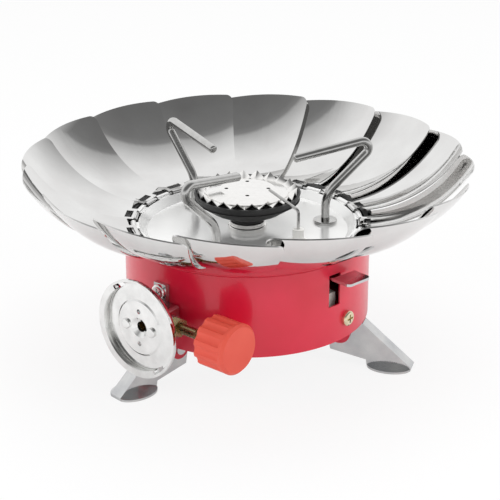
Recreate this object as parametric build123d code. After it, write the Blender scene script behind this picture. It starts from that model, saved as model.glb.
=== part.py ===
from build123d import *
import os
from math import asin, atan2, cos, degrees, hypot, pi, radians, sin, sqrt, tan

# Gas camping stove with a folding petal windshield, in millimetres.
# The origin is on the stove's axis at floor level, +Z is up, and the control knob is at the front (-Y).
# Pieces that repeat round the axis are drawn along +X and then turned about Z by their own angle.

# Case, a pressed and enamelled steel can
CASE_R = 56.0
CASE_WALL = 0.8
CASE_BOTTOM_Z = 21.4
CASE_DEPTH = 38.5
DECK_T = 0.8
DECK_LEDGE = 7.5
LIP_WIDTH = 1.4
LIP_GAP = 0.5
LIP_ROUND = 0.6
BEAD_DROP = 0.4
BEAD_R = 0.45
BEAD_DEPTH = 0.3

# Hinge tray, a blackened ring that lines the top of the case under the petals
TRAY_T = 0.5
TRAY_FIT = 0.05
TRAY_PAN_GAP = 1.5
TRAY_BRIM = 3.8

# Base plate, set up inside the case so that the legs fold in under it
BASE_RISE = 4.8
BASE_T = 0.8
BASE_FIT = 0.05
VENT_COUNT = 6
VENT_R = 4.0
VENT_CIRCLE_R = 26.0

# Legs, folded from sheet, and what they turn on
LEG_ANGLES = (-17.3, -137.3, 102.7)
LEG_PIVOT_IN = 10.5
LEG_PIVOT_DROP = 5.9
LEG_EAR_R = 6.0
LEG_HALF = 3.5
LEG_SHEET = 1.0
LEG_REACH = 23.2
LEG_TIP_Z = 1.6
LEG_EDGE_GAP = 0.4
LEG_HEEL_IN = 15.0
LEG_HEEL_Z = 6.4
LEG_INSTEP_OUT = 2.0
LEG_INSTEP_Z = 3.2
FOOT_START = 2.5
FOOT_LENGTH = 20.3
FOOT_WIDTH = 6.5
LEG_PIN_R = 1.5
LEG_PIN_FIT = 0.05
PIN_HEAD_R = 2.6
PIN_HEAD_T = 1.0
LUG_T = 1.2
LUG_R = 5.0
LUG_GAP = 0.3
LUG_FLANGE = 4.0
LUG_FLANGE_T = 0.9

# Burner plate, a polished pan whose rim clips hold the hinge ring
PLATE_T = 0.6
PLATE_RIM_IN = 2.7
PLATE_WALL_RUN = 3.4
PLATE_WALL_RISE = 3.25
CLIP_WIDTH = 8.0
CLIP_WALL = 0.5
CLIP_FIT = 0.05
CLIP_WEB_T = 0.6

# Petals, 16 sprung sheets on one hinge ring
PETAL_COUNT = 16
PETAL_FIRST_ANGLE = 17.8
PETAL_T = 0.5
PETAL_ROOT_RISE = 4.4
PETAL_REACH = 49.6
PETAL_RISE = 28.1
PETAL_BOW_R = 58.0
PETAL_TROUGH_R = 65.0
PETAL_ROLL = 4.5
PETAL_ROOT_LAP = 1.0
PETAL_RIM_LAP = 3.8
PETAL_RIM_BOW = 5.2
PETAL_CORNER_R = 4.0
PETAL_TRIM = 4.0
HINGE_IN = 4.1
HINGE_WIRE_R = 0.8
HINGE_SLACK = 0.3
SLEEVE_WALL = 0.5
SLEEVE_WIDTH = 7.0
TONGUE_HALF = 5.5
TONGUE_LENGTH = 2.4
TONGUE_OVERHANG = 0.4
WINDOW_LENGTH = 3.2
WINDOW_WIDTH = 6.8
WINDOW_START = 1.0

# Pot supports, bent rod that swivels in the burner plate
ROD_R = 2.0
ROD_FIT = 0.1
SUPPORT_IN = 9.3
SUPPORT_ANGLES = (10.8, 132.0, 248.3)
SUPPORT_TURNS = (6.0, -5.4, -16.8)
SUPPORT_KNEE_RISE = 13.5
SUPPORT_KNEE_R = 14.0
SUPPORT_BEND_OUT = 27.8
SUPPORT_BEND_RISE = 39.2
SUPPORT_BEND_R = 3.5
SUPPORT_TIP_IN = 15.6
SUPPORT_TIP_RISE = 32.1
SUPPORT_HEAD_R = 3.6
SUPPORT_HEAD_T = 1.2
SUPPORT_HEAD_GAP = 0.3
SUPPORT_TIP_ROUND = 1.2
EYELET_R = 5.5
EYELET_T = 1.3
EYELET_ROUND = 0.5

# Burner head on its mixing tube
TUBE_R = 6.3
TUBE_WALL = 1.0
TUBE_FIT = 0.05
TUBE_RISE = 6.9
AIR_HOLE_COUNT = 4
AIR_HOLE_R = 2.5
AIR_HOLE_RISE = 8.0
COLLAR_R = 8.9
COLLAR_H = 2.0
COLLAR_NECK_R = 7.9
COLLAR_NECK_RISE = 3.5
COLLAR_ROUND = 0.8
BOWL_SOCKET_RISE = 3.8
BOWL_SOCKET_WALL = 1.0
BOWL_NECK_RISE = 5.1
BOWL_BELLY_IN = 7.7
BOWL_BELLY_RISE = 9.0
BOWL_WAIST_IN = 0.3
BOWL_WAIST_RISE = 14.0
BOWL_BAND_IN = 0.8
BOWL_CERAMIC_GAP = 8.8
BOWL_RIM_RISE = 17.1
BOWL_RIM_WALL = 1.0
BOWL_SHOULDER_DROP = 0.8
BOWL_SHOULDER_IN = 3.0
BOWL_WELL_RISE = 14.8
BOWL_FLOOR_T = 1.2
RING_WAVES = 22
RING_FIRST_ANGLE = -85.0
RING_HEM = 1.4
RING_SLOPE = 4.0
RING_IN = 1.6
RING_WAVE_H = 2.9
RING_SHEET = 0.5
CAP_SKIRT = 5.9
CAP_RISE = 18.8
CAP_EDGE_GAP = 0.2
CAP_EDGE_T = 0.5
CAP_SEAT = 1.0
CAP_T = 0.8
CAP_HOLES = 4
CAP_HOLE_R = 0.9
CAP_HOLE_IN = 3.0

# Jet, its holder and the gas pipe to the valve
HOLDER_R = 7.5
HOLDER_H = 14.0
SPIGOT_H = 2.0
JET_R = 2.5
JET_BODY_H = 2.5
JET_H = 4.5
JET_TIP_R = 1.2
JET_BORE_R = 0.4
PIPE_R = 2.0
PIPE_WALL = 0.8
PIPE_FIT = 0.05
PIPE_START = 4.0

# Valve at the case's side, with the dish that the gas canister locks into
VALVE_ANGLE = -131.0
VALVE_RISE = 13.4
VALVE_SEAT_GAP = 0.05
VALVE_LENGTH = 13.75
VALVE_WIDTH = 19.0
VALVE_HEIGHT = 16.0
VALVE_EDGE_ROUND = 1.5
VALVE_PORT_R = 1.9
VALVE_LUG_T = 2.0
VALVE_LUG_HALF = 3.6
VALVE_LUG_H = 8.5
VALVE_SCREW_RISE = 4.8
OUTLET_R = 5.0
OUTLET_FIT = 0.1
OUTLET_LENGTH = 6.5
LOCK_NUT_FLATS = 12.8
LOCK_NUT_T = 4.0
LOCK_NUT_SEAT = 1.6
FLANGE_R = 22.5
FLANGE_T = 1.2
FLANGE_DEPTH = 3.8
FLANGE_CORNER_R = 3.0
FLANGE_LIP = 1.9
FLANGE_LIP_T = 0.8
FLANGE_LIP_FIRST = 128.0
FLANGE_LIP_SPAN = 172.0
FLANGE_NOTCH_SPAN = 13.0
FLANGE_NOTCH_EDGE = 0.6
FLANGE_STEP_R = 12.2
FLANGE_STEP_FOOT_R = 13.0
FLANGE_STEP_H = 0.5
FLANGE_HOLE_R = 1.1
FLANGE_HOLE_OUT = 7.6
FLANGE_INLET_R = 2.4
FLANGE_FUNNEL_R = 4.6
FLANGE_FUNNEL_T = 0.3
RIVET_OUT = 7.5
RIVET_R = 1.5
RIVET_HEAD_R = 2.3
RIVET_HEAD_H = 1.1
RIVET_GRIP = 1.8
NOZZLE_R = 3.4
NOZZLE_BORE_R = FLANGE_INLET_R
NOZZLE_BORE_DEPTH = 4.0
NOZZLE_LENGTH = 5.5
NOZZLE_PORT_R = 0.8
NOZZLE_FIT = 0.05
SEAL_BORE_R = NOZZLE_BORE_R + 0.1
SEAL_T = 1.0

# Control stem and knob
STEM_OUT = 5.5
STEM_RISE = 1.0
STEM_R = 2.3
STEM_FIT = 0.05
STEM_START = 4.6
STEM_FLAT_DEPTH = 0.6
STEM_FLAT_LENGTH = 14.0
STEM_BORE_START = 4.2
STEM_BOSS_R = 4.4
STEM_BOSS_LENGTH = 2.5
PACKING_FLATS = 7.6
PACKING_T = 3.5
PACKING_RECESS = 1.5
PACKING_RECESS_R = 3.2
KNOB_R = 11.3
KNOB_LENGTH = 15.9
KNOB_START = 33.1
KNOB_SOCKET = 6.0
KNOB_LOBES = 12
KNOB_FLUTE_R = 3.2
KNOB_FLUTE_DEPTH = 0.8
KNOB_FLUTE_STOP = 2.6
KNOB_CHAMFER = 1.2
KNOB_HUB_R = 4.6
KNOB_HOLLOW = 6.5
KNOB_WALL = 2.0

# Piezo igniter, its lever and its electrode
PIEZO_ANGLE = -47.0
PIEZO_IN = 9.0
PIEZO_SIDE = 9.6
PIEZO_H = 16.5
PLUNGER_R = 1.9
PLUNGER_FIT = 0.05
PLUNGER_BOTTOM_RISE = 9.0
GUIDE_FLOOR = 1.0
GUIDE_TOP_RISE = 11.0
SPRING_WELL_R = 3.6
SPRING_R = 2.75
SPRING_WIRE_R = 0.35
SPRING_TURNS = 6
SPRING_END_GAP = 0.2
LEVER_T = 1.2
LEVER_RISE = 31.0
LEVER_NECK_HALF = 2.8
LEVER_NECK_IN = 12.5
LEVER_TAB_START = 1.4
LEVER_TAB_OUT = 11.3
LEVER_TAB_LOW = 3.0
LEVER_TAB_HIGH = 10.8
LEVER_CORNER_R = 2.0
SLOT_WIDTH = 6.8
SLOT_BOTTOM_RISE = 17.8
SLOT_TOP_RISE = 33.0
BRACKET_T = 1.0
BRACKET_FIT = 0.05
BRACKET_START = -7.0
BRACKET_END = 13.5
BRACKET_RISE = 0.6
BRACKET_H = 8.0
BRACKET_EARS = (-4.3, 2.5)
SCREW_RISE = 9.4
SCREW_R = 1.75
SCREW_FIT = 0.1
SCREW_HEAD_R = 3.5
SCREW_HEAD_H = 2.2
SCREW_LENGTH = 5.4
CROSS_LENGTH = 4.0
CROSS_WIDTH = 0.9
CROSS_DEPTH = 1.2
NUT_FLATS = 6.0
NUT_T = 2.4
NUT_PIEZO_GAP = 0.02
CERAMIC_IN = 14.0
CERAMIC_ANGLE = -47.0
CERAMIC_FLANGE_R = 4.5
CERAMIC_FLANGE_H = 3.0
CERAMIC_NECK_R = 2.5
CERAMIC_H = 8.5
CERAMIC_STEM_R = 2.8
CERAMIC_STEM_DROP = 8.5
CERAMIC_FIT = 0.1
ELECTRODE_R = 0.7
ELECTRODE_FIT = 0.05
ELECTRODE_DROP = 10.0
ELECTRODE_RISE = 17.2
ELECTRODE_BEND_R = 2.0
ELECTRODE_LAP = 8.1
ELECTRODE_TIP_RISE = 21.9
LEAD_R = 1.2
LEAD_RISE = 7.0
LEAD_BEND_R = 5.0

# Levels and places that follow from the sizes above
CASE_INNER_R = CASE_R - CASE_WALL
DECK_Z = CASE_BOTTOM_Z + CASE_DEPTH
PLATE_Z = DECK_Z + PLATE_T
BASE_Z = CASE_BOTTOM_Z + BASE_RISE
BASE_TOP_Z = BASE_Z + BASE_T
PETAL_ROOT_Z = PLATE_Z + PETAL_ROOT_RISE
HINGE_R = CASE_R - HINGE_IN
PLATE_RIM_R = HINGE_R - PLATE_RIM_IN
PLATE_FLOOR_R = PLATE_RIM_R - PLATE_WALL_RUN
SLEEVE_R = HINGE_WIRE_R + HINGE_SLACK + SLEEVE_WALL
HINGE_Z = PETAL_ROOT_Z - SLEEVE_R
LIP_INNER_R = CASE_R - LIP_WIDTH
TRAY_TOP_Z = PETAL_ROOT_Z - PETAL_T / 2 - LIP_GAP
LIP_TOP_Z = TRAY_TOP_Z - TRAY_T
SUPPORT_CIRCLE_R = PLATE_FLOOR_R - SUPPORT_IN
DECK_HOLE_R = SUPPORT_CIRCLE_R - DECK_LEDGE
LEG_PIVOT_R = CASE_R - LEG_PIVOT_IN
LEG_PIVOT_Z = CASE_BOTTOM_Z - LEG_PIVOT_DROP
BOWL_RIM_Z = PLATE_Z + BOWL_RIM_RISE
BOWL_SHOULDER_Z = BOWL_RIM_Z - BOWL_SHOULDER_DROP
RING_HEM_Z = BOWL_SHOULDER_Z + RING_SHEET
CAP_TOP_Z = PLATE_Z + CAP_RISE
TUBE_TOP_Z = PLATE_Z + TUBE_RISE
HOLDER_TOP_Z = BASE_TOP_Z + HOLDER_H
VALVE_Z = CASE_BOTTOM_Z + VALVE_RISE
VALVE_START = CASE_R + VALVE_SEAT_GAP
FLANGE_BACK = VALVE_START + VALVE_LENGTH
FLANGE_FLOOR = FLANGE_BACK + FLANGE_T
FLANGE_FRONT = FLANGE_BACK + FLANGE_DEPTH
FLANGE_SEAT = FLANGE_FLOOR + FLANGE_STEP_H
NOZZLE_MOUTH = FLANGE_BACK - SEAL_T
STEM_X = CASE_R + STEM_OUT
STEM_Z = VALVE_Z + STEM_RISE
VALVE_TOP_Z = VALVE_Z + VALVE_HEIGHT / 2
PACKING_START = VALVE_WIDTH / 2 + STEM_BOSS_LENGTH
PIEZO_X = CASE_R - PIEZO_IN
CERAMIC_CIRCLE_R = PIEZO_X - CERAMIC_IN
BOWL_RIM_R = CERAMIC_CIRCLE_R - BOWL_CERAMIC_GAP
BOWL_BAND_R = BOWL_RIM_R - BOWL_BAND_IN
BOWL_WAIST_R = BOWL_RIM_R - BOWL_WAIST_IN
BOWL_BELLY_R = BOWL_RIM_R - BOWL_BELLY_IN
BOWL_SHOULDER_R = BOWL_RIM_R - BOWL_SHOULDER_IN
RING_R = BOWL_RIM_R - RING_IN
RING_WAVE_R = RING_R - RING_SLOPE
RING_HEM_R = RING_WAVE_R - RING_HEM
CAP_EDGE_R = RING_WAVE_R - CAP_EDGE_GAP
CAP_TOP_R = CAP_EDGE_R - CAP_SKIRT
CAP_HOLE_CIRCLE_R = CAP_TOP_R - CAP_HOLE_IN
ELECTRODE_TIP_R = RING_R - ELECTRODE_LAP
NUT_SEAT_R = CASE_INNER_R - 2 * BRACKET_FIT - BRACKET_T
NUT_ASIDE = PIEZO_SIDE / 2 + NUT_FLATS / 2 + NUT_PIEZO_GAP
SCREW_ANGLE = PIEZO_ANGLE + degrees(asin(NUT_ASIDE / (NUT_SEAT_R - NUT_T)))
LEVER_Z = CASE_BOTTOM_Z + LEVER_RISE
SPRING_SEAT_Z = BASE_TOP_Z + GUIDE_TOP_RISE
FAR = 200.0
NEAR = 0.01


def turned(*outline):
    """Revolve an outline of (radius, height) points about the stove's axis."""
    return revolve(Plane.XZ * make_face(Polyline(*outline, close=True)), Axis.Z)


def around(shape, angle):
    """Turn a piece that was drawn along +X to its place round the stove."""
    return Rot(0, 0, angle) * shape


def post(radius, bottom, top, x=0.0, y=0.0):
    """An upright cylinder between two heights."""
    return Pos(x, y, (bottom + top) / 2) * Cylinder(radius, top - bottom)


def block(x0, x1, y0, y1, z0, z1):
    """A box between two corners."""
    return Pos((x0 + x1) / 2, (y0 + y1) / 2, (z0 + z1) / 2) * Box(x1 - x0, y1 - y0, z1 - z0)


def radial(x, z, y=0.0):
    """A plane that looks outwards along +X: local x is +Y, local y is up."""
    return Plane(origin=(x, y, z), x_dir=(0, 1, 0), z_dir=(1, 0, 0))


def sideways(y, x, z):
    """A plane that looks along +Y: local x is +X, local y is down."""
    return Plane(origin=(x, y, z), x_dir=(1, 0, 0), z_dir=(0, 1, 0))


def bar_x(radius, x0, x1, z, y=0.0):
    """A round bar along X."""
    return radial((x0 + x1) / 2, z, y) * Cylinder(radius, x1 - x0)


def bar_y(radius, y0, y1, x, z):
    """A round bar along Y."""
    return sideways((y0 + y1) / 2, x, z) * Cylinder(radius, y1 - y0)


def hexagon(across_flats):
    """A hexagon given across its flats, with a corner at the top."""
    return RegularPolygon(across_flats / 2, 6, major_radius=False, rotation=30)


def rod(path, radius):
    """A round rod along a path that starts with a straight run."""
    start = Plane(origin=path @ 0, z_dir=path % 0)
    return sweep(start * Circle(radius), path=path)


def support_place(index):
    """Foot of one pot support: its x and y."""
    angle = radians(SUPPORT_ANGLES[index])
    return SUPPORT_CIRCLE_R * cos(angle), SUPPORT_CIRCLE_R * sin(angle)


def support_holes():
    """Bores for the three pot supports through plate, deck and eyelets."""
    return [post(ROD_R + ROD_FIT, 0, FAR, *support_place(i)) for i in range(len(SUPPORT_ANGLES))]


def ceramic_hole():
    """Bore for the igniter's ceramic through plate and deck."""
    return around(post(CERAMIC_STEM_R + CERAMIC_FIT, 0, FAR, CERAMIC_CIRCLE_R), CERAMIC_ANGLE)


def screw_hole():
    """Bore for the bracket screw through case and bracket."""
    hole = bar_x(SCREW_R + SCREW_FIT, CASE_INNER_R / 2, CASE_R + SCREW_HEAD_R, CASE_BOTTOM_Z + SCREW_RISE)
    return around(hole, SCREW_ANGLE)


def valve_screw_hole():
    """Bore for the valve's screw through case and lug."""
    hole = bar_x(SCREW_R + SCREW_FIT, CASE_INNER_R / 2, FAR, VALVE_TOP_Z + VALVE_SCREW_RISE)
    return around(hole, VALVE_ANGLE)


def make_case():
    deck_under_z = DECK_Z - DECK_T
    shell = turned(
        (CASE_INNER_R, CASE_BOTTOM_Z),
        (CASE_R, CASE_BOTTOM_Z),
        (CASE_R, LIP_TOP_Z),
        (LIP_INNER_R, LIP_TOP_Z),
        (LIP_INNER_R, DECK_Z),
        (DECK_HOLE_R, DECK_Z),
        (DECK_HOLE_R, deck_under_z),
        (CASE_INNER_R, deck_under_z),
    )
    lip_edges = shell.edges().filter_by_position(Axis.Z, LIP_TOP_Z - NEAR, LIP_TOP_Z + NEAR)
    shell = fillet(lip_edges.sort_by(SortBy.LENGTH)[-1], LIP_ROUND)
    bead = Pos(0, 0, DECK_Z - BEAD_DROP) * Torus(CASE_R + BEAD_R - BEAD_DEPTH, BEAD_R)
    slot = block(
        CASE_INNER_R / 2,
        FAR,
        -SLOT_WIDTH / 2,
        SLOT_WIDTH / 2,
        CASE_BOTTOM_Z + SLOT_BOTTOM_RISE,
        CASE_BOTTOM_Z + SLOT_TOP_RISE,
    )
    outlet = bar_x(OUTLET_R + OUTLET_FIT, CASE_INNER_R / 2, FAR, VALVE_Z)
    cuts = support_holes()
    cuts.append(bead)
    cuts.append(ceramic_hole())
    cuts.append(screw_hole())
    cuts.append(valve_screw_hole())
    cuts.append(around(slot, PIEZO_ANGLE))
    cuts.append(around(outlet, VALVE_ANGLE))
    return shell - cuts


def make_hinge_tray():
    wall_out = LIP_INNER_R - TRAY_FIT
    wall_in = wall_out - TRAY_T
    floor_r = PLATE_FLOOR_R + TRAY_PAN_GAP
    brim_r = LIP_INNER_R + TRAY_BRIM
    return turned(
        (floor_r, DECK_Z),
        (wall_out, DECK_Z),
        (wall_out, LIP_TOP_Z),
        (brim_r, LIP_TOP_Z),
        (brim_r, TRAY_TOP_Z),
        (wall_in, TRAY_TOP_Z),
        (wall_in, DECK_Z + TRAY_T),
        (floor_r, DECK_Z + TRAY_T),
    )


def make_base_plate():
    plate = post(CASE_INNER_R - BASE_FIT, BASE_Z, BASE_TOP_Z)
    step = 360 / VENT_COUNT
    vents = [around(post(VENT_R, 0, FAR, VENT_CIRCLE_R), step * i) for i in range(VENT_COUNT)]
    return plate - vents


def make_leg_brackets():
    """A pair of lugs for each leg, with feet spot-welded under the base plate."""
    inner = LEG_HALF + LUG_GAP
    outer = inner + LUG_T
    lug = block(LEG_PIVOT_R - LUG_R, LEG_PIVOT_R + LUG_R, inner, outer, LEG_PIVOT_Z, BASE_Z)
    lug += bar_y(LUG_R, inner, outer, LEG_PIVOT_R, LEG_PIVOT_Z)
    lug += block(
        LEG_PIVOT_R - LUG_R,
        LEG_PIVOT_R + LUG_R,
        inner,
        outer + LUG_FLANGE,
        BASE_Z - LUG_FLANGE_T,
        BASE_Z,
    )
    lug -= bar_y(LEG_PIN_R + LEG_PIN_FIT, 0, FAR, LEG_PIVOT_R, LEG_PIVOT_Z)
    pair = [lug, mirror(lug, about=Plane.XZ)]
    return Compound([around(half, angle) for angle in LEG_ANGLES for half in pair])


def make_leg_pins():
    grip = LEG_HALF + LUG_GAP + LUG_T
    pin = bar_y(LEG_PIN_R, -grip, grip, LEG_PIVOT_R, LEG_PIVOT_Z)
    for side in (-1, 1):
        ends = sorted((side * grip, side * (grip + PIN_HEAD_T)))
        pin += bar_y(PIN_HEAD_R, *ends, LEG_PIVOT_R, LEG_PIVOT_Z)
    return Compound([around(pin, angle) for angle in LEG_ANGLES])


def make_leg():
    """One leg drawn along +X: a folded channel whose side plates end in flat half-round feet."""
    brow = (CASE_R, CASE_BOTTOM_Z - LEG_EDGE_GAP)
    tip = (CASE_R + LEG_REACH, LEG_TIP_Z)
    ear_top = (LEG_PIVOT_R, LEG_PIVOT_Z + LEG_EAR_R)
    ear_back = (LEG_PIVOT_R - LEG_EAR_R, LEG_PIVOT_Z)
    diagonal = LEG_EAR_R * sqrt(0.5)
    ear_middle = (LEG_PIVOT_R - diagonal, LEG_PIVOT_Z + diagonal)
    foot_start = CASE_R + FOOT_START
    foot_end = foot_start + FOOT_LENGTH
    outline = [
        ThreePointArc(ear_back, ear_middle, ear_top),
        Polyline(
            ear_top,
            brow,
            tip,
            (foot_end, 0),
            (foot_start, 0),
            (CASE_R + LEG_INSTEP_OUT, LEG_INSTEP_Z),
            (CASE_R - LEG_HEEL_IN, LEG_HEEL_Z),
            ear_back,
        ),
    ]
    side_face = Plane.XZ * make_face(outline)
    full = extrude(side_face, amount=LEG_HALF, both=True)
    hollow = extrude(side_face, amount=LEG_HALF - LEG_SHEET, both=True)
    run = hypot(tip[0] - brow[0], tip[1] - brow[1])
    slope = (brow[1] - tip[1]) / run
    level = (tip[0] - brow[0]) / run
    web_in = (LEG_SHEET * slope, LEG_SHEET * level)
    below_web = make_face(
        Polyline(
            (brow[0] - web_in[0], brow[1] - web_in[1]),
            (tip[0] - web_in[0], tip[1] - web_in[1]),
            (tip[0] - web_in[0], -FAR),
            (-FAR, -FAR),
            (-FAR, brow[1] - web_in[1]),
            close=True,
        )
    )
    over_root = block(-FAR, brow[0] - web_in[0], -FAR, FAR, -FAR, FAR)
    channel = hollow & extrude(Plane.XZ * below_web, amount=FAR, both=True)
    leg = full - channel - (hollow & over_root)
    foot_middle = (foot_start + foot_end) / 2
    oval = Ellipse(FOOT_LENGTH / 2, FOOT_WIDTH)
    for side in (-1, 1):
        outside = Pos(0, side * FOOT_WIDTH / 2) * Rectangle(FOOT_LENGTH, FOOT_WIDTH)
        place = Pos(foot_middle, side * (LEG_HALF - LEG_SHEET), 0)
        leg += extrude(place * (oval & outside), amount=LEG_SHEET)
    return leg - bar_y(LEG_PIN_R + LEG_PIN_FIT, -FAR, FAR, LEG_PIVOT_R, LEG_PIVOT_Z)


def make_burner_plate():
    rim_z = PLATE_Z + PLATE_WALL_RISE
    pan = turned(
        (TUBE_R + TUBE_FIT, DECK_Z),
        (PLATE_FLOOR_R + PLATE_T / 2, DECK_Z),
        (PLATE_RIM_R + PLATE_T, rim_z - PLATE_T / 2),
        (PLATE_RIM_R, rim_z),
        (PLATE_FLOOR_R, PLATE_Z),
        (TUBE_R + TUBE_FIT, PLATE_Z),
    )
    half = CLIP_WIDTH / 2
    clip_bore_r = HINGE_WIRE_R + CLIP_FIT
    curl = bar_y(clip_bore_r + CLIP_WALL, -half, half, HINGE_R, HINGE_Z)
    web = block(PLATE_RIM_R, HINGE_R, -half, half, HINGE_Z - CLIP_WEB_T / 2, HINGE_Z + CLIP_WEB_T / 2)
    clip = curl + web
    pitch = 360 / PETAL_COUNT
    clips = [around(clip, PETAL_FIRST_ANGLE + pitch * (i + 0.5)) for i in range(PETAL_COUNT)]
    wire_way = Pos(0, 0, HINGE_Z) * Torus(HINGE_R, clip_bore_r)
    return pan + clips - wire_way - support_holes() - ceramic_hole()


def make_hinge_ring():
    return Pos(0, 0, HINGE_Z) * Torus(HINGE_R, HINGE_WIRE_R)


def make_petal():
    """One petal drawn along +X: a sheet bowed along its length and troughed across it."""
    chord = hypot(PETAL_REACH, PETAL_RISE)
    along = (PETAL_REACH / chord, PETAL_RISE / chord)
    height = sqrt(PETAL_BOW_R**2 - (chord / 2) ** 2)
    centre_x = HINGE_R + PETAL_REACH / 2 - along[1] * height
    centre_z = PETAL_ROOT_Z + PETAL_RISE / 2 + along[0] * height
    spread = degrees(asin(chord / 2 / PETAL_BOW_R))
    tilt = degrees(atan2(PETAL_RISE, PETAL_REACH))
    first = radians(tilt - spread - PETAL_TRIM - 90)
    half_pitch = radians(180 / PETAL_COUNT)
    rim_at = chord - PETAL_RIM_BOW
    root_half = (HINGE_R + TONGUE_LENGTH) * tan(half_pitch) + PETAL_ROOT_LAP
    rim_half = (HINGE_R + rim_at * along[0]) * tan(half_pitch) + PETAL_RIM_LAP
    section_plane = Plane(
        origin=(centre_x, 0, centre_z),
        x_dir=(cos(first), 0, sin(first)),
        z_dir=(-sin(first), 0, cos(first)),
    )
    trough_centre = (PETAL_BOW_R - PETAL_TROUGH_R, 0)
    half_angle = degrees(asin((rim_half + PETAL_CORNER_R) / PETAL_TROUGH_R))
    under = CenterArc(trough_centre, PETAL_TROUGH_R + PETAL_T / 2, -half_angle, 2 * half_angle)
    upper = CenterArc(trough_centre, PETAL_TROUGH_R - PETAL_T / 2, -half_angle, 2 * half_angle)
    section = make_face([under, Line(under @ 1, upper @ 1), upper, Line(upper @ 0, under @ 0)])
    bow_axis = Axis((centre_x, 0, centre_z), (0, -1, 0))
    sheet = revolve(section_plane * section, bow_axis, 2 * (spread + PETAL_TRIM))
    chord_plane = Plane(
        origin=(HINGE_R, 0, PETAL_ROOT_Z),
        x_dir=(along[0], 0, along[1]),
        z_dir=(-along[1], 0, along[0]),
    )
    corner = (rim_at, rim_half)
    other_corner = (rim_at, -rim_half)
    back = -TONGUE_LENGTH
    outline = make_face(
        [
            ThreePointArc(corner, (chord, 0), other_corner),
            Polyline(
                other_corner,
                (TONGUE_LENGTH, -root_half),
                (back, -root_half),
                (back, root_half),
                (TONGUE_LENGTH, root_half),
                corner,
            ),
        ]
    )
    rim_corners = outline.vertices().filter_by_position(Axis.X, rim_at - NEAR, rim_at + NEAR)
    outline = fillet(rim_corners, PETAL_CORNER_R)
    petal = sheet & extrude(chord_plane * outline, amount=PETAL_BOW_R / 2, both=True)
    tongue_end = HINGE_R + TONGUE_LENGTH
    for side in (-1, 1):
        ends = sorted((side * TONGUE_HALF, side * FAR))
        petal -= block(0, tongue_end, *ends, 0, FAR)
    petal -= block(0, HINGE_R - TONGUE_OVERHANG, -FAR, FAR, 0, FAR)
    window_start = HINGE_R + WINDOW_START
    half_window = WINDOW_WIDTH / 2
    petal -= block(window_start, window_start + WINDOW_LENGTH, -half_window, half_window, 0, FAR)
    roll_axis = Axis((HINGE_R, 0, PETAL_ROOT_Z), (along[0], 0, along[1]))
    petal = petal.rotate(roll_axis, -PETAL_ROLL)
    half_sleeve = SLEEVE_WIDTH / 2
    petal += bar_y(SLEEVE_R, -half_sleeve, half_sleeve, HINGE_R, HINGE_Z)
    return petal - bar_y(HINGE_WIRE_R + HINGE_SLACK, -FAR, FAR, HINGE_R, HINGE_Z)


def make_support():
    """One pot support with its foot at the origin, leaning out along +X."""
    head_top_z = DECK_Z - DECK_T - SUPPORT_HEAD_GAP
    bottom_z = head_top_z - SUPPORT_HEAD_T
    path = Plane.XZ * FilletPolyline(
        (0, bottom_z),
        (0, PLATE_Z + SUPPORT_KNEE_RISE),
        (SUPPORT_BEND_OUT, PLATE_Z + SUPPORT_BEND_RISE),
        (-SUPPORT_TIP_IN, PLATE_Z + SUPPORT_TIP_RISE),
        radius=[SUPPORT_KNEE_R, SUPPORT_BEND_R],
    )
    support = rod(path, ROD_R)
    tip = support.faces().filter_by(GeomType.PLANE).sort_by(Axis.Z)[-1]
    support = fillet(tip.edges(), SUPPORT_TIP_ROUND)
    return support + post(SUPPORT_HEAD_R, bottom_z, head_top_z)


def place_support(support, index):
    x, y = support_place(index)
    return Pos(x, y, 0) * Rot(0, 0, SUPPORT_ANGLES[index] + SUPPORT_TURNS[index]) * support


def make_support_eyelets():
    eyelets = []
    for index in range(len(SUPPORT_ANGLES)):
        washer = post(EYELET_R, PLATE_Z, PLATE_Z + EYELET_T, *support_place(index))
        washer = fillet(washer.edges().group_by(Axis.Z)[-1], EYELET_ROUND)
        eyelets.append(washer - post(ROD_R + ROD_FIT, 0, FAR, *support_place(index)))
    return Compound(eyelets)


def make_mixing_tube():
    tube = post(TUBE_R, HOLDER_TOP_Z, TUBE_TOP_Z) - post(TUBE_R - TUBE_WALL, 0, FAR)
    hole = bar_x(AIR_HOLE_R, 0, FAR, HOLDER_TOP_Z + AIR_HOLE_RISE)
    step = 360 / AIR_HOLE_COUNT
    return tube - [around(hole, step * (i + 0.5)) for i in range(AIR_HOLE_COUNT)]


def make_tube_collar():
    bore_r = TUBE_R + TUBE_FIT
    flare_z = PLATE_Z + COLLAR_H
    neck_z = PLATE_Z + COLLAR_NECK_RISE
    collar = turned(
        (bore_r, PLATE_Z),
        (COLLAR_R, PLATE_Z),
        (COLLAR_R, flare_z),
        (COLLAR_NECK_R, flare_z),
        (COLLAR_NECK_R, neck_z),
        (bore_r, neck_z),
    )
    flare_edges = collar.edges().filter_by_position(Axis.Z, flare_z - NEAR, flare_z + NEAR)
    return fillet(flare_edges.sort_by(SortBy.LENGTH)[-1], COLLAR_ROUND)


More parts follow.
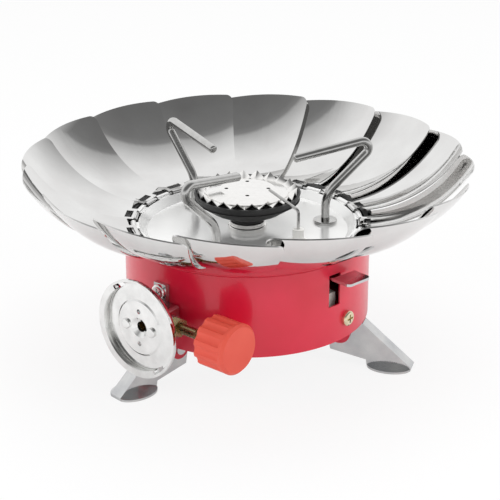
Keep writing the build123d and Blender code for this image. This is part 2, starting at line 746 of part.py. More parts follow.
def make_burner_bowl():
    bore_r = TUBE_R + TUBE_FIT
    socket_r = bore_r + BOWL_SOCKET_WALL
    socket_z = PLATE_Z + BOWL_SOCKET_RISE
    belly_z = PLATE_Z + BOWL_BELLY_RISE
    waist_z = PLATE_Z + BOWL_WAIST_RISE
    lip_r = BOWL_RIM_R - BOWL_RIM_WALL
    return turned(
        (bore_r, socket_z),
        (socket_r, socket_z),
        (socket_r, PLATE_Z + BOWL_NECK_RISE),
        (BOWL_BELLY_R, belly_z),
        (BOWL_WAIST_R, waist_z),
        (BOWL_BAND_R, waist_z),
        (BOWL_RIM_R, BOWL_RIM_Z),
        (lip_r, BOWL_RIM_Z),
        (lip_r, BOWL_SHOULDER_Z),
        (BOWL_SHOULDER_R, BOWL_SHOULDER_Z),
        (BOWL_SHOULDER_R, PLATE_Z + BOWL_WELL_RISE),
        (BOWL_BELLY_R, belly_z + BOWL_FLOOR_T),
        (bore_r, TUBE_TOP_Z),
    )


def ring_section(turn, outer_z):
    """Cut through the flame ring at one angle: a flat hem, then a slope to its outer edge."""
    top = [(RING_HEM_R, RING_HEM_Z), (RING_WAVE_R, RING_HEM_Z), (RING_R, outer_z)]
    under = [(r, z - RING_SHEET) for r, z in reversed(top)]
    return around(Plane.XZ * make_face(Polyline(*top, *under, close=True)), turn)


def make_flame_ring():
    """Crimped ring: its valleys lie on the bowl's shoulder and its waves leave the flame ports open."""
    half_wave = 180 / RING_WAVES
    valley_before = ring_section(-half_wave, RING_HEM_Z)
    peak = ring_section(0, RING_HEM_Z + RING_WAVE_H)
    valley_after = ring_section(half_wave, RING_HEM_Z)
    wave = loft([valley_before, peak], ruled=True) + loft([peak, valley_after], ruled=True)
    waves = [around(wave, RING_FIRST_ANGLE + 2 * half_wave * i) for i in range(RING_WAVES)]
    return waves[0] + waves[1:]


def make_burner_cap():
    under_z = CAP_TOP_Z - CAP_T
    cap = turned(
        (0, CAP_TOP_Z),
        (CAP_TOP_R, CAP_TOP_Z),
        (CAP_EDGE_R, RING_HEM_Z + CAP_EDGE_T),
        (CAP_EDGE_R, RING_HEM_Z),
        (CAP_EDGE_R - CAP_SEAT, RING_HEM_Z),
        (CAP_TOP_R - CAP_T / 2, under_z),
        (0, under_z),
    )
    hole = post(CAP_HOLE_R, 0, FAR, CAP_HOLE_CIRCLE_R)
    return cap - [around(hole, 360 / CAP_HOLES * i) for i in range(CAP_HOLES)]


def make_jet_holder():
    holder = post(HOLDER_R, BASE_TOP_Z, HOLDER_TOP_Z)
    holder += post(TUBE_R - TUBE_WALL - TUBE_FIT, HOLDER_TOP_Z, HOLDER_TOP_Z + SPIGOT_H)
    holder -= around(bar_x(PIPE_R + PIPE_FIT, PIPE_START, FAR, VALVE_Z), VALVE_ANGLE)
    passage = bar_x(PIPE_R - PIPE_WALL, 0, PIPE_START, VALVE_Z)
    holder -= around(passage, VALVE_ANGLE)
    return holder - post(PIPE_R - PIPE_WALL, VALVE_Z, FAR)


def make_gas_jet():
    seat_z = HOLDER_TOP_Z + SPIGOT_H
    return turned(
        (JET_BORE_R, seat_z),
        (JET_R, seat_z),
        (JET_R, seat_z + JET_BODY_H),
        (JET_TIP_R, seat_z + JET_H),
        (JET_BORE_R, seat_z + JET_H),
    )


def make_gas_pipe():
    end = VALVE_START - PIPE_R
    pipe = bar_x(PIPE_R, PIPE_START, end, VALVE_Z) - bar_x(PIPE_R - PIPE_WALL, 0, FAR, VALVE_Z)
    return around(pipe, VALVE_ANGLE)


def make_valve_body():
    half = VALVE_WIDTH / 2
    low_z = VALVE_Z - VALVE_HEIGHT / 2
    body = block(VALVE_START, FLANGE_BACK, -half, half, low_z, VALVE_TOP_Z)
    body = fillet(body.edges().filter_by(Axis.X), VALVE_EDGE_ROUND)
    body += bar_x(OUTLET_R, VALVE_START - OUTLET_LENGTH, VALVE_START, VALVE_Z)
    body += block(
        VALVE_START,
        VALVE_START + VALVE_LUG_T,
        -VALVE_LUG_HALF,
        VALVE_LUG_HALF,
        VALVE_Z,
        VALVE_TOP_Z + VALVE_LUG_H,
    )
    body += bar_y(STEM_BOSS_R, half, PACKING_START, STEM_X, STEM_Z)
    body -= bar_x(PIPE_R + PIPE_FIT, 0, VALVE_START - PIPE_R, VALVE_Z)
    body -= bar_x(VALVE_PORT_R, 0, FAR, VALVE_Z)
    body -= bar_x(NOZZLE_R + NOZZLE_FIT, NOZZLE_MOUTH - NOZZLE_LENGTH, FAR, VALVE_Z)
    body -= bar_y(STEM_R + STEM_FIT, STEM_BORE_START, FAR, STEM_X, STEM_Z)
    for y in (-RIVET_OUT, RIVET_OUT):
        body -= bar_x(RIVET_R + NOZZLE_FIT, FLANGE_BACK - RIVET_GRIP, FAR, VALVE_Z, y)
    return around(body, VALVE_ANGLE) - valve_screw_hole()


def make_valve_lock_nut():
    outer = CASE_R - LOCK_NUT_SEAT
    nut = extrude(radial(outer - LOCK_NUT_T, VALVE_Z) * hexagon(LOCK_NUT_FLATS), amount=LOCK_NUT_T)
    nut -= bar_x(OUTLET_R + VALVE_SEAT_GAP, 0, FAR, VALVE_Z)
    return around(nut, VALVE_ANGLE)


def flange_sector(r0, r1, first, span, x0, x1):
    """Part of a ring round the canister's axis, between two radii and two depths."""
    sector = CenterArc((0, 0), FAR, first, span)
    fan = make_face([sector, Line(sector @ 1, (0, 0)), Line((0, 0), sector @ 0)])
    ring = (Circle(r1) - Circle(r0)) & fan
    return extrude(radial(x0, VALVE_Z) * ring, amount=x1 - x0)


def make_canister_flange():
    """Dish with a rolled wall, one long locking lip and a notch at each end of it."""
    wall_in = FLANGE_R - FLANGE_T
    dish = bar_x(FLANGE_R, FLANGE_BACK, FLANGE_FRONT, VALVE_Z)
    dish = fillet(dish.edges().group_by(Axis.X)[0], FLANGE_CORNER_R)
    inner_corner = FLANGE_CORNER_R - FLANGE_T
    corner_end = FLANGE_FLOOR + inner_corner
    hollow = bar_x(wall_in, FLANGE_FLOOR, FAR, VALVE_Z)
    dish -= fillet(hollow.edges().group_by(Axis.X)[0], inner_corner)
    step = Cone(FLANGE_STEP_FOOT_R, FLANGE_STEP_R, FLANGE_STEP_H)
    dish += radial((FLANGE_FLOOR + FLANGE_SEAT) / 2, VALVE_Z) * step
    lip_in = wall_in - FLANGE_LIP
    notch_r = FLANGE_R - FLANGE_NOTCH_EDGE
    lip_x = FLANGE_FRONT - FLANGE_LIP_T
    lip_end = FLANGE_LIP_FIRST + FLANGE_LIP_SPAN
    dish += flange_sector(lip_in, wall_in, FLANGE_LIP_FIRST, FLANGE_LIP_SPAN, lip_x, FLANGE_FRONT)
    for notch_start in (FLANGE_LIP_FIRST - FLANGE_NOTCH_SPAN, lip_end):
        dish -= flange_sector(lip_in, notch_r, notch_start, FLANGE_NOTCH_SPAN, 0, corner_end)
    dish -= bar_x(FLANGE_INLET_R, 0, FAR, VALVE_Z)
    funnel_start = FLANGE_BACK + FLANGE_FUNNEL_T
    funnel = Cone(FLANGE_INLET_R, FLANGE_FUNNEL_R, FLANGE_SEAT - funnel_start)
    dish -= radial((funnel_start + FLANGE_SEAT) / 2, VALVE_Z) * funnel
    for out in (-1, 1):
        dish -= bar_x(RIVET_R + NOZZLE_FIT, 0, FAR, VALVE_Z, out * RIVET_OUT)
        dish -= bar_x(FLANGE_HOLE_R, 0, FAR, VALVE_Z + out * FLANGE_HOLE_OUT)
    return around(dish, VALVE_ANGLE)


def make_flange_rivets():
    rivets = []
    for y in (-RIVET_OUT, RIVET_OUT):
        head = bar_x(RIVET_HEAD_R, FLANGE_SEAT, FLANGE_SEAT + RIVET_HEAD_H, VALVE_Z, y)
        head = fillet(head.edges().group_by(Axis.X)[-1], RIVET_HEAD_H / 2)
        rivet = head + bar_x(RIVET_R, FLANGE_BACK - RIVET_GRIP, FLANGE_SEAT, VALVE_Z, y)
        rivets.append(around(rivet, VALVE_ANGLE))
    return Compound(rivets)


def make_inlet_nozzle():
    nozzle = bar_x(NOZZLE_R, NOZZLE_MOUTH - NOZZLE_LENGTH, NOZZLE_MOUTH, VALVE_Z)
    nozzle -= bar_x(NOZZLE_BORE_R, NOZZLE_MOUTH - NOZZLE_BORE_DEPTH, FAR, VALVE_Z)
    return around(nozzle - bar_x(NOZZLE_PORT_R, 0, FAR, VALVE_Z), VALVE_ANGLE)


def make_inlet_seal():
    seal = bar_x(NOZZLE_R, NOZZLE_MOUTH, FLANGE_BACK, VALVE_Z)
    return around(seal - bar_x(SEAL_BORE_R, 0, FAR, VALVE_Z), VALVE_ANGLE)


def make_packing_nut():
    nut = extrude(sideways(PACKING_START, STEM_X, STEM_Z) * hexagon(PACKING_FLATS), amount=PACKING_T)
    nut -= bar_y(PACKING_RECESS_R, 0, PACKING_START + PACKING_RECESS, STEM_X, STEM_Z)
    return around(nut - bar_y(STEM_R + STEM_FIT, 0, FAR, STEM_X, STEM_Z), VALVE_ANGLE)


def make_stem_seal():
    end = PACKING_START + PACKING_RECESS
    seal = bar_y(PACKING_RECESS_R - STEM_FIT, PACKING_START, end, STEM_X, STEM_Z)
    return around(seal - bar_y(STEM_R + STEM_FIT, 0, FAR, STEM_X, STEM_Z), VALVE_ANGLE)


def make_valve_stem():
    end = KNOB_START + KNOB_SOCKET
    stem = bar_y(STEM_R, STEM_START, end, STEM_X, STEM_Z)
    flat_z = STEM_Z + STEM_R - STEM_FLAT_DEPTH
    stem -= block(0, FAR, end - STEM_FLAT_LENGTH, end, flat_z, flat_z + STEM_R)
    return around(stem, VALVE_ANGLE)


def make_control_knob():
    """Moulded knob: a fluted cup with a hub that grips the stem's flat."""
    end = KNOB_START + KNOB_LENGTH
    grip = bar_y(KNOB_R, KNOB_START, end, STEM_X, STEM_Z)
    grip = chamfer(grip.edges().group_by(Axis.Y)[-1], KNOB_CHAMFER)
    flute_out = KNOB_R + KNOB_FLUTE_R - KNOB_FLUTE_DEPTH
    flutes = []
    for i in range(KNOB_LOBES):
        turn = 2 * pi * i / KNOB_LOBES
        x = STEM_X + flute_out * cos(turn)
        z = STEM_Z + flute_out * sin(turn)
        flutes.append(bar_y(KNOB_FLUTE_R, 0, end - KNOB_FLUTE_STOP, x, z))
    hollow = bar_y(KNOB_R - KNOB_WALL, KNOB_START, KNOB_START + KNOB_HOLLOW, STEM_X, STEM_Z)
    hollow -= bar_y(KNOB_HUB_R, 0, FAR, STEM_X, STEM_Z)
    socket = bar_y(STEM_R, KNOB_START, KNOB_START + KNOB_SOCKET, STEM_X, STEM_Z)
    flat_z = STEM_Z + STEM_R - STEM_FLAT_DEPTH
    socket -= block(0, FAR, 0, FAR, flat_z, flat_z + STEM_R)
    return around(grip - flutes - hollow - socket, VALVE_ANGLE)


def make_piezo_body():
    half = PIEZO_SIDE / 2
    top_z = BASE_TOP_Z + PIEZO_H
    body = block(PIEZO_X - half, PIEZO_X + half, -half, half, BASE_TOP_Z, top_z)
    body -= post(SPRING_WELL_R, SPRING_SEAT_Z, FAR, PIEZO_X)
    body -= post(PLUNGER_R + PLUNGER_FIT, BASE_TOP_Z + GUIDE_FLOOR, FAR, PIEZO_X)
    return around(body, PIEZO_ANGLE)


def make_piezo_plunger():
    return around(post(PLUNGER_R, BASE_TOP_Z + PLUNGER_BOTTOM_RISE, LEVER_Z, PIEZO_X), PIEZO_ANGLE)


def make_piezo_spring():
    """Return spring round the plunger, from its well in the piezo up to the lever."""
    low = SPRING_SEAT_Z + SPRING_WIRE_R + SPRING_END_GAP
    height = LEVER_Z - SPRING_WIRE_R - SPRING_END_GAP - low
    pitch = height / SPRING_TURNS
    print("spring: gap between turns", round(pitch - 2 * SPRING_WIRE_R, 2))
    line = Pos(PIEZO_X, 0, low) * Helix(pitch, height, SPRING_R)
    wire = Plane(origin=line @ 0, z_dir=line % 0) * Circle(SPRING_WIRE_R)
    return around(sweep(wire, path=line, is_frenet=True), PIEZO_ANGLE)


def make_ignition_lever():
    """Plated lever: a neck that runs through the slot and a thumb tab outside it."""
    neck_end = CASE_R + LEVER_TAB_START
    tab_end = CASE_R + LEVER_TAB_OUT
    neck = block(
        CASE_R - LEVER_NECK_IN,
        neck_end + LEVER_CORNER_R,
        -LEVER_NECK_HALF,
        LEVER_NECK_HALF,
        LEVER_Z,
        LEVER_Z + LEVER_T,
    )
    tab = block(neck_end, tab_end, -LEVER_TAB_LOW, LEVER_TAB_HIGH, LEVER_Z, LEVER_Z + LEVER_T)
    outer_corners = tab.edges().filter_by(Axis.Z).sort_by(Axis.X)[-2:]
    tab = fillet(outer_corners, LEVER_CORNER_R)
    return around(neck + tab, PIEZO_ANGLE)


def make_piezo_bracket():
    """Strip inside the case wall, with two ears that reach the piezo."""
    outer_r = CASE_INNER_R - BRACKET_FIT
    inner_r = outer_r - BRACKET_T
    low_z = BASE_TOP_Z + BRACKET_RISE
    high_z = low_z + BRACKET_H
    arc = CenterArc((0, 0), FAR, BRACKET_START, BRACKET_END - BRACKET_START)
    fan = make_face([arc, Line(arc @ 1, (0, 0)), Line((0, 0), arc @ 0)])
    strip = extrude(Pos(0, 0, low_z) * ((Circle(outer_r) - Circle(inner_r)) & fan), amount=BRACKET_H)
    ear_start = PIEZO_X + PIEZO_SIDE / 2 + BRACKET_FIT
    for y in BRACKET_EARS:
        ear = block(ear_start, outer_r, y - BRACKET_T / 2, y + BRACKET_T / 2, low_z, high_z)
        strip += ear & post(outer_r, low_z, high_z)
    return around(strip, PIEZO_ANGLE) - screw_hole()


def make_screw(seat, z, angle):
    """Pan-head screw with a cross recess, driven inwards until its head meets the seat."""
    head = bar_x(SCREW_HEAD_R, seat, seat + SCREW_HEAD_H, z)
    head = fillet(head.edges().group_by(Axis.X)[-1], SCREW_HEAD_H / 2)
    screw = head + bar_x(SCREW_R, seat - SCREW_LENGTH, seat, z)
    floor = seat + SCREW_HEAD_H - CROSS_DEPTH
    half_length = CROSS_LENGTH / 2
    half_width = CROSS_WIDTH / 2
    screw -= block(floor, FAR, -half_length, half_length, z - half_width, z + half_width)
    screw -= block(floor, FAR, -half_width, half_width, z - half_length, z + half_length)
    return around(screw, angle)


def make_bracket_nut():
    z = CASE_BOTTOM_Z + SCREW_RISE
    nut = extrude(radial(NUT_SEAT_R - NUT_T, z) * hexagon(NUT_FLATS), amount=NUT_T)
    nut &= post(NUT_SEAT_R, 0, FAR)
    return around(nut - bar_x(SCREW_R + BRACKET_FIT, 0, FAR, z), SCREW_ANGLE)


def make_ceramic_insulator():
    bore_r = ELECTRODE_R + ELECTRODE_FIT
    flange_z = PLATE_Z + CERAMIC_FLANGE_H
    ceramic = turned(
        (bore_r, PLATE_Z - CERAMIC_STEM_DROP),
        (CERAMIC_STEM_R, PLATE_Z - CERAMIC_STEM_DROP),
        (CERAMIC_STEM_R, PLATE_Z),
        (CERAMIC_FLANGE_R, PLATE_Z),
        (CERAMIC_FLANGE_R, flange_z),
        (CERAMIC_NECK_R, flange_z),
        (CERAMIC_NECK_R, PLATE_Z + CERAMIC_H),
        (bore_r, PLATE_Z + CERAMIC_H),
    )
    return around(Pos(CERAMIC_CIRCLE_R, 0, 0) * ceramic, CERAMIC_ANGLE)


def make_electrode():
    path = Plane.XZ * FilletPolyline(
        (CERAMIC_CIRCLE_R, PLATE_Z - ELECTRODE_DROP),
        (CERAMIC_CIRCLE_R, PLATE_Z + ELECTRODE_RISE),
        (ELECTRODE_TIP_R, PLATE_Z + ELECTRODE_TIP_RISE),
        radius=ELECTRODE_BEND_R,
    )
    return around(rod(path, ELECTRODE_R), CERAMIC_ANGLE)


def make_ignition_lead():
    """Insulated lead from the piezo's side up to the electrode's lower end."""
    low_z = BASE_TOP_Z + LEAD_RISE
    path = Plane.XZ * FilletPolyline(
        (PIEZO_X - PIEZO_SIDE / 2, low_z),
        (CERAMIC_CIRCLE_R, low_z),
        (CERAMIC_CIRCLE_R, PLATE_Z - ELECTRODE_DROP),
        radius=LEAD_BEND_R,
    )
    return around(rod(path, LEAD_R), CERAMIC_ANGLE)


pieces = {
    "case": make_case(),
    "hinge_tray": make_hinge_tray(),
    "base_plate": make_base_plate(),
    "leg_brackets": make_leg_brackets(),
    "leg_pins": make_leg_pins(),
    "burner_plate": make_burner_plate(),
    "hinge_ring": make_hinge_ring(),
    "support_eyelets": make_support_eyelets(),
    "mixing_tube": make_mixing_tube(),
    "tube_collar": make_tube_collar(),
    "burner_bowl": make_burner_bowl(),
    "flame_ring": make_flame_ring(),
    "burner_cap": make_burner_cap(),
    "jet_holder": make_jet_holder(),
    "gas_jet": make_gas_jet(),
    "gas_pipe": make_gas_pipe(),
    "valve_body": make_valve_body(),
    "valve_lock_nut": make_valve_lock_nut(),
    "canister_flange": make_canister_flange(),
    "flange_rivets": make_flange_rivets(),
    "inlet_nozzle": make_inlet_nozzle(),
    "inlet_seal": make_inlet_seal(),
    "packing_nut": make_packing_nut(),
    "stem_seal": make_stem_seal(),
    "valve_stem": make_valve_stem(),
    "control_knob": make_control_knob(),
    "piezo_body": make_piezo_body(),
    "piezo_plunger": make_piezo_plunger(),
    "piezo_spring": make_piezo_spring(),
    "ignition_lever": make_ignition_lever(),
    "piezo_bracket": make_piezo_bracket(),
    "bracket_screw": make_screw(CASE_R, CASE_BOTTOM_Z + SCREW_RISE, SCREW_ANGLE),
    "valve_screw": make_screw(VALVE_START + VALVE_LUG_T, VALVE_TOP_Z + VALVE_SCREW_RISE, VALVE_ANGLE),
    "bracket_nut": make_bracket_nut(),
    "ceramic_insulator": make_ceramic_insulator(),
    "electrode": make_electrode(),
    "ignition_lead": make_ignition_lead(),
}

leg = make_leg()
for number, angle in enumerate(LEG_ANGLES, start=1):
    pieces[f"leg_{number}"] = around(leg, angle)

support = make_support()
for index in range(len(SUPPORT_ANGLES)):
    pieces[f"pot_support_{index + 1}"] = place_support(support, index)

petal = make_petal()
for index in range(PETAL_COUNT):
    turn = PETAL_FIRST_ANGLE + 360 / PETAL_COUNT * index
    pieces[f"petal_{index + 1:02d}"] = around(petal, turn)

os.makedirs("parts", exist_ok=True)
for name, shape in pieces.items():
    export_step(shape, f"parts/{name}.step")
print("wrote", len(pieces), "pieces")
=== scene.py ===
# %% [markdown]
# # A folding camping stove, dressed for its picture
# The solids of the stove come in as a fixed frame: every piece already stands in its place, in metres,
# with the floor at zero height and the knob at the front.
# The lesson gives each of them the finish of the real thing, adds the light of a small product table,
# and looks at it from where a buyer would stand.

# %% Load the frame
from math import radians

import bpy
import bmesh
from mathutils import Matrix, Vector


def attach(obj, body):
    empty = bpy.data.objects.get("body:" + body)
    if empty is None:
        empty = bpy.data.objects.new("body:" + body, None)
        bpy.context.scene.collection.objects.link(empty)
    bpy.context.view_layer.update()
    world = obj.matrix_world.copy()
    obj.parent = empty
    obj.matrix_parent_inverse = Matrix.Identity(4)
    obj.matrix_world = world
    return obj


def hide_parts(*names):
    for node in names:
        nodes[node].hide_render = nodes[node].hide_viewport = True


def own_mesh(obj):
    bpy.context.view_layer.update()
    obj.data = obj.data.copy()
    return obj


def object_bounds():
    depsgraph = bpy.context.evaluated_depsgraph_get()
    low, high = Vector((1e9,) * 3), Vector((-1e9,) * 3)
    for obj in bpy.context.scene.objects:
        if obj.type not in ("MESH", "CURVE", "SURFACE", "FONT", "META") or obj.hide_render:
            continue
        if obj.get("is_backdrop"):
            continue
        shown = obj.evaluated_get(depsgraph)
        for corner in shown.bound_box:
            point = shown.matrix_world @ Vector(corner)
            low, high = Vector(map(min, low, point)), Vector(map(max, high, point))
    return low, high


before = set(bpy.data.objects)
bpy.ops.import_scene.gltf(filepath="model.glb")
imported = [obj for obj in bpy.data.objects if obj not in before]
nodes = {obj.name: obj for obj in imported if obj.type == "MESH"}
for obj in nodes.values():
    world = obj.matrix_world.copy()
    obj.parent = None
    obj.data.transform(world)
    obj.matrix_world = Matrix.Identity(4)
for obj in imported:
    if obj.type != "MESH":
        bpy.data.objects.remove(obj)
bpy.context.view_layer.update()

MM = 0.001
print("pieces in the frame:", len(nodes))

# %% [markdown]
# ## Colours and nodes
# Colours are written as a painter would read them off a screen, as hex values.
# Blender mixes light in linear numbers, so one function turns them round.
# A second function adds one shader node with its settings and its links, which keeps every finish short.

# %% Helpers for colours and nodes
def linear(hex_colour):
    """Turn an sRGB hex value into the linear colour that shaders expect."""
    parts = [int(hex_colour[i:i + 2], 16) / 255 for i in (1, 3, 5)]
    return [p / 12.92 if p <= 0.04045 else ((p + 0.055) / 1.055) ** 2.4 for p in parts] + [1.0]


def add(tree, kind, settings=None, links=None):
    """Add one node, set its properties or sockets, and link its sockets to other nodes' outputs."""
    node = tree.nodes.new(kind)
    for name, value in (settings or {}).items():
        if isinstance(name, str) and hasattr(node, name):
            setattr(node, name, value)
        else:
            node.inputs[name].default_value = value
    for socket, (source, output) in (links or {}).items():
        tree.links.new(source.outputs[output], node.inputs[socket])
    return node


def start_finish(name):
    """An empty material: its node tree, its shader and the place of each point on the piece."""
    material = bpy.data.materials.new(name)
    material.use_nodes = True
    tree = material.node_tree
    tree.nodes.clear()
    shader = add(tree, "ShaderNodeBsdfPrincipled")
    add(tree, "ShaderNodeOutputMaterial", links={"Surface": (shader, "BSDF")})
    place = (add(tree, "ShaderNodeTexCoord"), "Object")
    return material, tree, shader, place


BUMP_DEPTH = 0.1 * MM
print("crimson in linear numbers:", [round(v, 3) for v in linear("#DA1233")])

# %% [markdown]
# ## Mirror-polished stainless sheet
# The petals are thin stainless sheet, polished until it mirrors the room.
# It could be a plain mirror, but real sheet keeps faint polishing marks a few millimetres long
# and wipes of handling, so the roughness wanders a little and a very fine bump breaks the reflections.

# %% Mirror stainless
mirror_stainless, tree, shader, place = start_finish("mirror_polished_stainless")
shader.inputs["Metallic"].default_value = 1.0
wipe = add(tree, "ShaderNodeTexNoise", {"Scale": 1 / (18 * MM), "Detail": 4.0}, {"Vector": place})
tone = add(tree, "ShaderNodeValToRGB", links={"Fac": (wipe, "Fac")})
tone.color_ramp.elements[0].position = 0.3
tone.color_ramp.elements[0].color = linear("#DDDCDB")
tone.color_ramp.elements[1].position = 0.7
tone.color_ramp.elements[1].color = linear("#E8E8E7")
gloss = add(tree, "ShaderNodeMapRange", {"To Min": 0.03, "To Max": 0.07}, {"Value": (wipe, "Fac")})
marks = add(tree, "ShaderNodeTexNoise", {"Scale": 1 / (1.6 * MM), "Detail": 2.0}, {"Vector": place})
bump = add(tree, "ShaderNodeBump", {"Strength": 0.012, "Distance": BUMP_DEPTH}, {"Height": (marks, "Fac")})
tree.links.new(tone.outputs["Color"], shader.inputs["Base Color"])
tree.links.new(gloss.outputs["Result"], shader.inputs["Roughness"])
tree.links.new(bump.outputs["Normal"], shader.inputs["Normal"])
print("made", mirror_stainless.name)

# %% [markdown]
# ## Satin stainless pan
# The pan under the burner is the same sheet, but it was only rolled bright:
# things that stand on it are mirrored, pale and blurred. A plain rough metal would lose them,
# so the roughness stays low and a slow noise, a few centimetres across, carries the rolling.
# The rolled skin also scatters light evenly, so for the shader it is only half a metal.

# %% Satin stainless
satin_stainless, tree, shader, place = start_finish("rolled_bright_stainless")
shader.inputs["Metallic"].default_value = 0.5
rolling = add(tree, "ShaderNodeTexNoise", {"Scale": 1 / (25 * MM), "Detail": 3.0}, {"Vector": place})
tone = add(tree, "ShaderNodeValToRGB", links={"Fac": (rolling, "Fac")})
tone.color_ramp.elements[0].position = 0.3
tone.color_ramp.elements[0].color = linear("#F6F6F5")
tone.color_ramp.elements[1].position = 0.7
tone.color_ramp.elements[1].color = linear("#FFFFFE")
gloss = add(tree, "ShaderNodeMapRange", {"To Min": 0.14, "To Max": 0.24}, {"Value": (rolling, "Fac")})
tree.links.new(tone.outputs["Color"], shader.inputs["Base Color"])
tree.links.new(gloss.outputs["Result"], shader.inputs["Roughness"])
print("made", satin_stainless.name)

# %% [markdown]
# ## Bright drawn wire
# The pot supports and the igniter's electrode are stainless wire, drawn through a die and left bright.
# Drawing leaves fine marks on the wire; at this size they only soften the highlight,
# so a noise of a few millimetres drives the roughness and a weak bump.

# %% Drawn stainless wire
drawn_wire, tree, shader, place = start_finish("bright_drawn_stainless_wire")
shader.inputs["Metallic"].default_value = 1.0
die_marks = add(tree, "ShaderNodeTexNoise", {"Scale": 1 / (3 * MM), "Detail": 3.0}, {"Vector": place})
tone = add(tree, "ShaderNodeValToRGB", links={"Fac": (die_marks, "Fac")})
tone.color_ramp.elements[0].color = linear("#B9B8B6")
tone.color_ramp.elements[1].color = linear("#D8D8D7")
gloss = add(tree, "ShaderNodeMapRange", {"To Min": 0.1, "To Max": 0.2}, {"Value": (die_marks, "Fac")})
bump = add(tree, "ShaderNodeBump", {"Strength": 0.03, "Distance": BUMP_DEPTH}, {"Height": (die_marks, "Fac")})
tree.links.new(tone.outputs["Color"], shader.inputs["Base Color"])
tree.links.new(gloss.outputs["Result"], shader.inputs["Roughness"])
tree.links.new(bump.outputs["Normal"], shader.inputs["Normal"])
print("made", drawn_wire.name)

# %% [markdown]
# ## Zinc-plated pressed steel
# Legs, lever and the hidden brackets are mild steel, pressed and then plated with bright zinc;
# the valve's block is cast and plated the same way. Zinc shows a slightly blue grey with soft cloudy patches,
# so a coarse noise shifts the tone and a finer one the gloss.

# %% Zinc plate
zinc_plate, tree, shader, place = start_finish("bright_zinc_plated_steel")
shader.inputs["Metallic"].default_value = 1.0
cloud = add(tree, "ShaderNodeTexNoise", {"Scale": 1 / (9 * MM), "Detail": 5.0}, {"Vector": place})
tone = add(tree, "ShaderNodeValToRGB", links={"Fac": (cloud, "Fac")})
tone.color_ramp.elements[0].position = 0.3
tone.color_ramp.elements[0].color = linear("#C2C3C5")
tone.color_ramp.elements[1].position = 0.75
tone.color_ramp.elements[1].color = linear("#DCDCDB")
grit = add(tree, "ShaderNodeTexNoise", {"Scale": 1 / (0.7 * MM), "Detail": 3.0}, {"Vector": place})
gloss = add(tree, "ShaderNodeMapRange", {"To Min": 0.07, "To Max": 0.16}, {"Value": (grit, "Fac")})
bump = add(tree, "ShaderNodeBump", {"Strength": 0.05, "Distance": BUMP_DEPTH}, {"Height": (grit, "Fac")})
tree.links.new(tone.outputs["Color"], shader.inputs["Base Color"])
tree.links.new(gloss.outputs["Result"], shader.inputs["Roughness"])
tree.links.new(bump.outputs["Normal"], shader.inputs["Normal"])
print("made", zinc_plate.name)

# %% [markdown]
# ## Bright nickel plate
# The dish that takes the canister, its rivets and the screw behind it are polished steel under bright nickel.
# Nickel is whiter than zinc and mirrors sharply, so the roughness is low;
# the press leaves slow waves of about a centimetre, which a weak bump gives.

# %% Nickel plate
nickel_plate, tree, shader, place = start_finish("bright_nickel_plated_steel")
shader.inputs["Metallic"].default_value = 1.0
haze = add(tree, "ShaderNodeTexNoise", {"Scale": 1 / (6 * MM), "Detail": 4.0}, {"Vector": place})
tone = add(tree, "ShaderNodeValToRGB", links={"Fac": (haze, "Fac")})
tone.color_ramp.elements[0].position = 0.3
tone.color_ramp.elements[0].color = linear("#E2E2E1")
tone.color_ramp.elements[1].position = 0.7
tone.color_ramp.elements[1].color = linear("#F3F3F2")
gloss = add(tree, "ShaderNodeMapRange", {"To Min": 0.04, "To Max": 0.1}, {"Value": (haze, "Fac")})
wave = add(tree, "ShaderNodeTexNoise", {"Scale": 1 / (10 * MM), "Detail": 1.0}, {"Vector": place})
bump = add(tree, "ShaderNodeBump", {"Strength": 0.25, "Distance": 0.2 * MM}, {"Height": (wave, "Fac")})
tree.links.new(tone.outputs["Color"], shader.inputs["Base Color"])
tree.links.new(gloss.outputs["Result"], shader.inputs["Roughness"])
tree.links.new(bump.outputs["Normal"], shader.inputs["Normal"])
print("made", nickel_plate.name)

# %% [markdown]
# ## Crimson enamel
# The case is sprayed and baked: a strong red under a clear gloss, with the faint waviness of orange peel.
# The colour sits in the base, the gloss in the coat, and the waviness,
# about two millimetres across, in a weak bump.

# %% Crimson enamel
crimson_enamel, tree, shader, place = start_finish("baked_crimson_enamel")
shader.inputs["Coat Weight"].default_value = 0.4
shader.inputs["Coat Roughness"].default_value = 0.06
depth = add(tree, "ShaderNodeTexNoise", {"Scale": 1 / (30 * MM), "Detail": 3.0}, {"Vector": place})
tone = add(tree, "ShaderNodeValToRGB", links={"Fac": (depth, "Fac")})
tone.color_ramp.elements[0].position = 0.3
tone.color_ramp.elements[0].color = linear("#DA1233")
tone.color_ramp.elements[1].position = 0.7
tone.color_ramp.elements[1].color = linear("#E71B40")
peel = add(tree, "ShaderNodeTexNoise", {"Scale": 1 / (2 * MM), "Detail": 1.0}, {"Vector": place})
gloss = add(tree, "ShaderNodeMapRange", {"To Min": 0.26, "To Max": 0.36}, {"Value": (peel, "Fac")})
bump = add(tree, "ShaderNodeBump", {"Strength": 0.03, "Distance": BUMP_DEPTH}, {"Height": (peel, "Fac")})
tree.links.new(tone.outputs["Color"], shader.inputs["Base Color"])
tree.links.new(gloss.outputs["Result"], shader.inputs["Roughness"])
tree.links.new(bump.outputs["Normal"], shader.inputs["Normal"])
print("made", crimson_enamel.name)

# %% [markdown]
# ## Moulded coral plastic
# The knob is moulded in one colour right through, with the satin surface that the mould was blasted to.
# Satin is a middling roughness with a grain of about half a millimetre in the bump.

